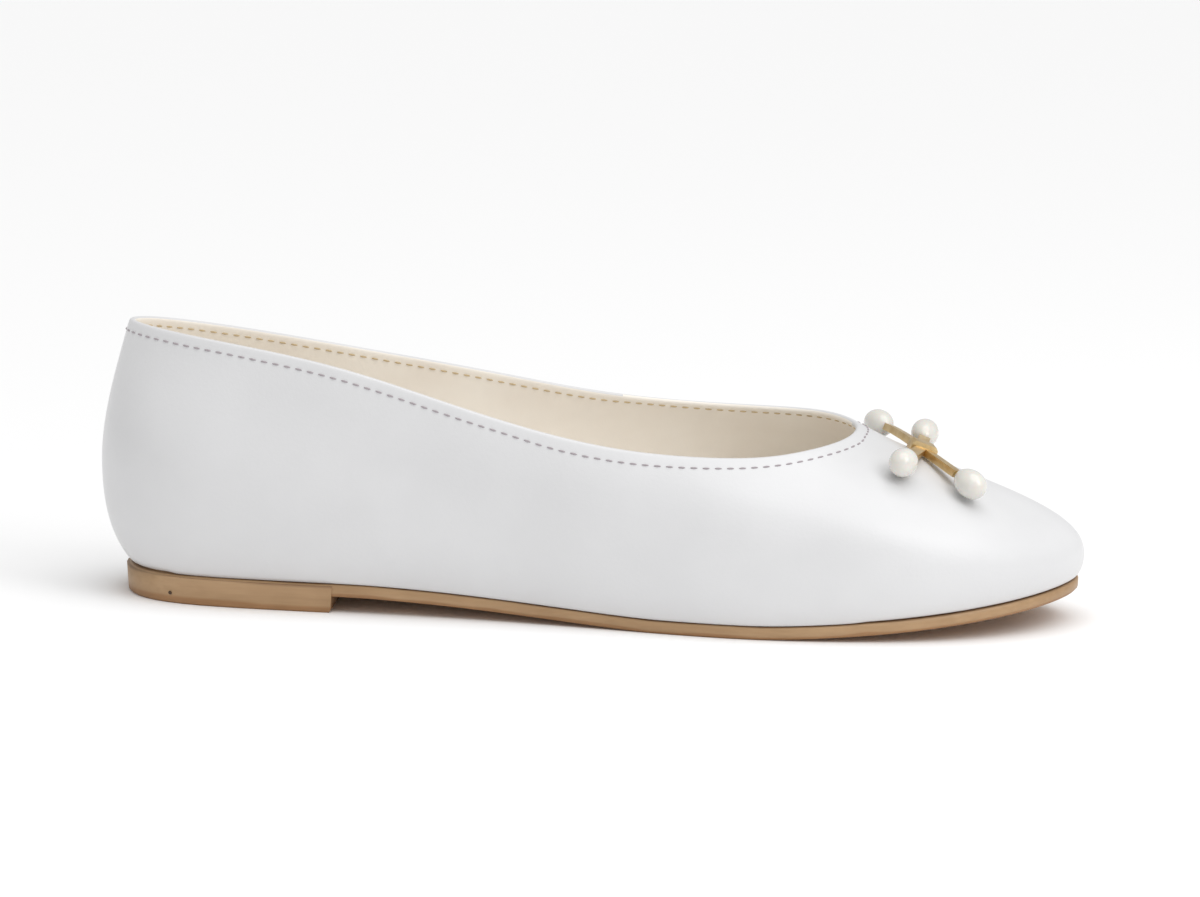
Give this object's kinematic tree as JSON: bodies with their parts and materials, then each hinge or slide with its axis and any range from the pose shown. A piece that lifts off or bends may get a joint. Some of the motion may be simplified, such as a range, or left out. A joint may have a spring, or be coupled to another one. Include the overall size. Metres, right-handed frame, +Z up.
{
  "type": "ballet flat",
  "caption": "White leather ballet flat for the right foot, with an almond toe, a thin tan sole with a low heel and a gilt bow-shaped ornament with oval white beads on the vamp.",
  "frame": {"origin": "on the floor, under the middle of the shoe's bounding box", "axes": "+X from the heel to the toe, +Y to the inner side of the right foot, +Z up"},
  "size_m": [0.2502, 0.0838, 0.0691],
  "materials": {
    "upper_leather": "smooth white leather with a soft sheen",
    "sole_leather": "tan sole leather with a painted edge",
    "lining_leather": "matte cream lining leather",
    "gilt_metal": "polished, gold coloured",
    "bead_enamel": "glossy, milk white"
  },
  "bodies": {
    "root": {"upper": "upper_leather", "outsole": "sole_leather", "heel_block": "sole_leather", "insole": "lining_leather", "bow_arms": "gilt_metal", "bow_knot": "gilt_metal", "bead_outer_toe": "bead_enamel", "bead_outer_heel": "bead_enamel", "bead_inner_toe": "bead_enamel", "bead_inner_heel": "bead_enamel"}
  },
  "joints": []
}
